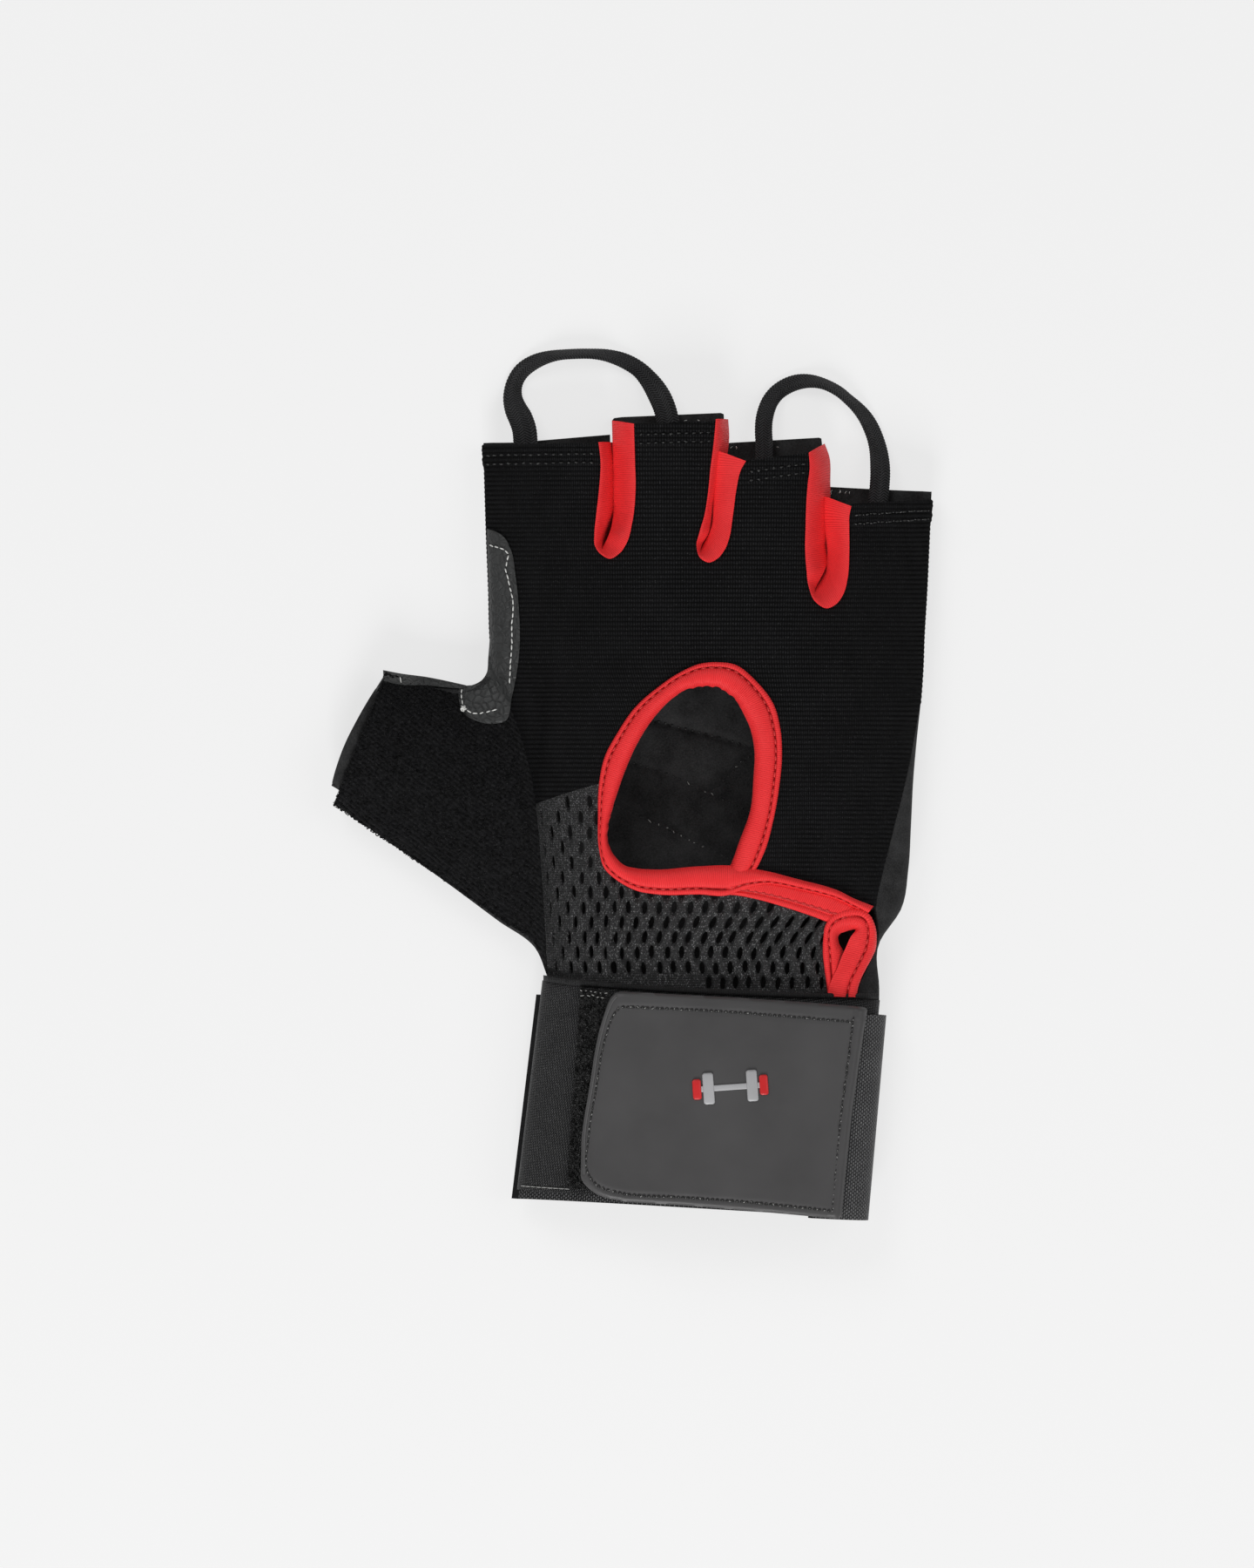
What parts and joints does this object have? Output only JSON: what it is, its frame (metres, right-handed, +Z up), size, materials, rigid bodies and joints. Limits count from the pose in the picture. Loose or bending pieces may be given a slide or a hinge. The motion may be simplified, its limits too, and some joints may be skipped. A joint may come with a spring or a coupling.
{
  "type": "weightlifting glove",
  "caption": "Half-finger weightlifting glove for the right hand, with a knit back, a keyhole opening, a net panel, an open thumb, pull loops and a wrist wrap under a tab.",
  "frame": {"origin": "on the ground under the middle of the glove's bounding box, measured without the pull loops", "axes": "+Y from the wrist towards the fingertips, +Z up out of the back of the hand, +X away from the thumb"},
  "size_m": [0.138, 0.2014, 0.0207],
  "materials": {
    "knit": "black ribbed stretch knit",
    "net": "dark grey pierced knitted net",
    "terry": "black towelling",
    "suede": "black synthetic suede",
    "patch_leather": "dark grey grained synthetic leather",
    "tape": "red ribbed tape",
    "elastic": "black woven elastic",
    "hook": "black hook tape",
    "tab_rubber": "matt dark grey moulded rubber",
    "cord": "black flat braid"
  },
  "bodies": {
    "root": {"back_panel": "knit", "mesh_panel": "net", "palm_panel": "suede", "thumb_back": "terry", "thumb_palm": "suede", "crotch_patch": "patch_leather", "finger_gusset_1": "tape", "finger_gusset_2": "tape", "finger_gusset_3": "tape", "keyhole_binding": "tape", "hem_binding": "tape", "mesh_binding": "tape", "slit_binding": "tape", "cuff": "elastic", "wrist_strap": "elastic", "closure_strip": "hook", "strap_tab": "tab_rubber", "pull_loop_index_middle": "cord", "pull_loop_ring_little": "cord"}
  },
  "joints": []
}
